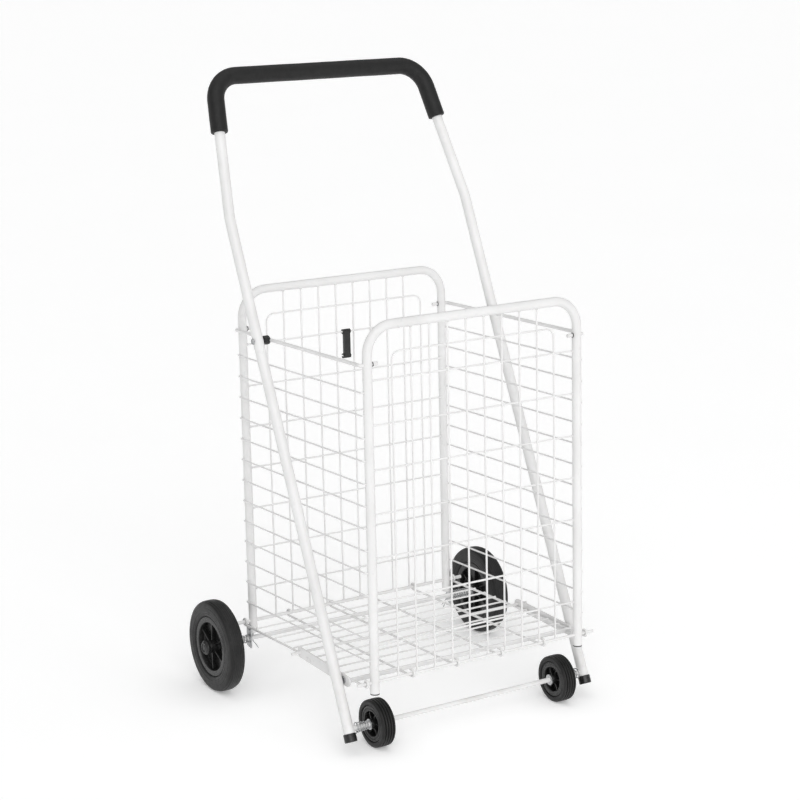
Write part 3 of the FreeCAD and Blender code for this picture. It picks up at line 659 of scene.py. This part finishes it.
def grip():
    """The foam sleeve, with soft rolled ends and shallow creases inside its two bends."""
    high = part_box("handle_grip")[1]
    top = Vector((0, high.y - GRIP_R, high.z - GRIP_R))
    up = Vector((0, math.sin(SLANT), math.cos(SLANT)))
    normal = Vector((1, 0, 0)).cross(up).normalized()
    arm = (top.z - GRIP_FOOT_Z) / math.cos(SLANT)
    top_end = Vector((GRIP_TOP_X, 0, 0))
    foot_end = Vector((GRIP_TOP_X + arm * math.tan(TAPER), 0, 0))
    corners = [top - up * arm - foot_end, top - top_end, top + top_end, top - up * arm + foot_end]
    samples = bend_path(corners, GRIP_CORNER_R, GRIP_PITCH)
    last = len(samples) - 1
    middle = top - up * GRIP_MIDDLE_DROP

    def ring(i, reach_at):
        """Points about sample i, reach_at(angle) from it, the first towards the inside of the bow."""
        point = samples[i][0]
        ahead = (samples[min(i + 1, last)][0] - samples[max(i - 1, 0)][0]).normalized()
        side = normal.cross(ahead).normalized()
        if side.dot(middle - point) < 0:
            side.negate()
        angles = [2 * math.pi * k / GRIP_AROUND for k in range(GRIP_AROUND)]
        return [point + (side * math.cos(a) + normal * math.sin(a)) * reach_at(a) for a in angles]

    rings = [ring(0, lambda angle: GRIP_BORE_R)]
    travelled = 0.0
    for i, (point, bend) in enumerate(samples):
        if i:
            travelled += (point - samples[i - 1][0]).length
        from_end = min(i, last - i) * GRIP_PITCH
        rings.append(ring(i, lambda angle: skin_reach(angle, travelled, from_end, bend)))
    rings.append(ring(last, lambda angle: GRIP_BORE_R))
    made = piece("foam_grip", [lofted(rings)], "grip_foam", "handle_frame", ["handle_grip"])


# ---- welds ----

def basket_point(x, y, z):
    """A point given in the leaning basket, put into the frame."""
    low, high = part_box("rear_bottom_rod")
    origin_y = (low.y + high.y) / 2 - PIVOT_Z * math.sin(LEAN)
    return Vector((x, origin_y + y * math.cos(LEAN) + z * math.sin(LEAN),
                   -y * math.sin(LEAN) + z * math.cos(LEAN)))


def basket_bead(x, y, z, size):
    """A bead in the leaning basket, leaning with it."""
    return bead(basket_point(x, y, z), size, Matrix.Rotation(-LEAN, 3, "X"))


def panel_beads(y, inward, top_z, tube_r, rod_r):
    """Where upright and level wires cross, and where uprights meet the tube and the rod."""
    columns = [(i - (INNER_COLUMNS - 1) / 2) * COLUMN_PITCH for i in range(INNER_COLUMNS)]
    rows = [ROW_TOP_Z - i * ROW_PITCH for i in range(ROWS)]
    foot_z = PIVOT_Z + rod_r + ROD_BEAD_OFF
    row_end_x = PANEL_X - tube_r - ROW_END_OFF
    spots = []

    def weld(x, inset, z, size):
        spots.append(basket_bead(x, y + inward * inset, z, size))

    for x in columns:
        for z in rows:
            weld(x, ROW_SET / 2, z, CROSSING_BEAD)
        weld(x, FRAME_WIRE_SET, top_z - FRAME_WIRE_DROP, CROSSING_BEAD)
        weld(x, 0, top_z - tube_r - TUBE_BEAD_OFF, TUBE_BEAD)
        weld(x, 0, foot_z, ROD_BEAD)
    for x in (-FRAME_WIRE_X, FRAME_WIRE_X):
        for z in rows:
            weld(x, FRAME_ROW_SET, z, CROSSING_BEAD)
        weld(x, FRAME_FOOT_SET, foot_z, FRAME_ROD_BEAD)
    for z in rows:
        for x in (-row_end_x, row_end_x):
            weld(x, ROW_SET, z, ROW_END_BEAD)
    return spots


def floor_beads():
    """Where the cross wires lie on the lengthwise ones. The middle one is the heavier rod."""
    first = (DEPTH - CROSS_PITCH * (CROSS_WIRES - 1)) / 2
    z = (FLOOR_RUN_Z + FLOOR_CROSS_Z) / 2 + FLOOR_BEAD_OFF
    welded = [i for i in range(CROSS_WIRES) if i != CROSS_WIRES // 2]
    return [basket_bead(x, -(first + i * CROSS_PITCH), z, FLOOR_BEAD)
            for i in welded for x in FLOOR_BEAD_XS]


def welds():
    piece("rear_panel_welds", panel_beads(0, -1, REAR_TOP_Z, REAR_TUBE_R, REAR_ROD_R),
          "white_powder_coat", "rear_frame")
    piece("front_panel_welds", panel_beads(-DEPTH, 1, FRONT_TOP_Z, FRONT_TUBE_R, FRONT_ROD_R),
          "white_powder_coat", "front_panel")
    piece("floor_welds", floor_beads(), "white_powder_coat", "basket_floor")


# ---- studio ----

def direction(azimuth, elevation):
    """The way to something seen at azimuth degrees from the front and elevation above level."""
    a, e = math.radians(azimuth), math.radians(elevation)
    return Vector((math.sin(a) * math.cos(e), -math.cos(a) * math.cos(e), math.sin(e)))


def placed(name, data, place, aim):
    """A new light or camera at place, looking along aim."""
    made = bpy.data.objects.new(name, data)
    made.location = place
    made.rotation_mode = "QUATERNION"
    made.rotation_quaternion = aim.to_track_quat("-Z", "Y")
    bpy.context.scene.collection.objects.link(made)
    return made


def floor():
    """A plain pale floor, large enough for every view."""
    mesh = bpy.data.meshes.new("studio_floor")
    corners = [(-1, -1), (1, -1), (1, 1), (-1, 1)]
    mesh.from_pydata([(FLOOR_REACH * x, FLOOR_REACH * y, 0) for x, y in corners], [], [(0, 1, 2, 3)])
    made = bpy.data.objects.new("studio_floor", mesh)
    bpy.context.scene.collection.objects.link(made)
    paint, tree, shader = material("studio_floor_paint", {"Roughness": 0.9, "Specular IOR Level": 0.1,
                                                           "Emission Color": (1.0, 1.0, 1.0, 1.0),
                                                           "Emission Strength": 0.22})
    clouds = patchy(tree, scale=1.5, detail=2, between=(0.0, 1.0))
    colour = tint(tree, clouds, grey(0.95), grey(0.94))
    tree.links.new(colour, shader.inputs["Base Color"])
    mesh.materials.append(paint)


def sun(name, azimuth, elevation, energy, angle):
    light = bpy.data.lights.new(name, "SUN")
    light.energy = energy
    light.angle = math.radians(angle)
    back = direction(azimuth, elevation)
    placed(name, light, back * SUN_DISTANCE, -back)


def softbox(name, place, size, energy):
    light = bpy.data.lights.new(name, "AREA")
    light.shape = "RECTANGLE"
    light.size, light.size_y = size
    light.energy = energy
    placed(name, light, place, LIGHT_TARGET - Vector(place))


def studio():
    """A white surround that is brighter near the horizon, two soft suns and a strip light."""
    floor()
    world = bpy.data.worlds.new("studio_world")
    bpy.context.scene.world = world
    world.use_nodes = True
    tree = world.node_tree
    background = tree.nodes["Background"]
    set_inputs(background, {"Color": (1.0, 1.0, 1.0, 1.0)})
    coordinates = tree.nodes.new("ShaderNodeTexCoord")
    split = tree.nodes.new("ShaderNodeSeparateXYZ")
    tree.links.new(coordinates.outputs["Generated"], split.inputs["Vector"])
    strength = spread(tree, split.outputs["Z"], 0.08, 0.35, into=(0.90, 0.24))
    tree.links.new(strength, background.inputs["Strength"])
    sun("key_light", azimuth=-24, elevation=30, energy=1.2, angle=50)
    sun("top_light", azimuth=-20, elevation=84, energy=1.1, angle=90)
    softbox("strip_light", place=(0.9, -3.2, 1.5), size=(0.5, 2.2), energy=8)
    bpy.context.scene.view_settings.view_transform = "Standard"


def camera():
    data = bpy.data.cameras.new("camera")
    data.lens = CAMERA_LENS
    data.sensor_width = CAMERA_SENSOR
    back = direction(CAMERA_AZIMUTH, CAMERA_ELEVATION)
    made = placed("camera", data, CAMERA_TARGET + back * CAMERA_DISTANCE, -back)
    roll = Quaternion((0, 0, 1), math.radians(CAMERA_ROLL))
    made.rotation_quaternion = made.rotation_quaternion @ roll
    bpy.context.scene.camera = made


camera()
finish_cad_nodes()
wheels()
axle_caps()
grip()
welds()
studio()
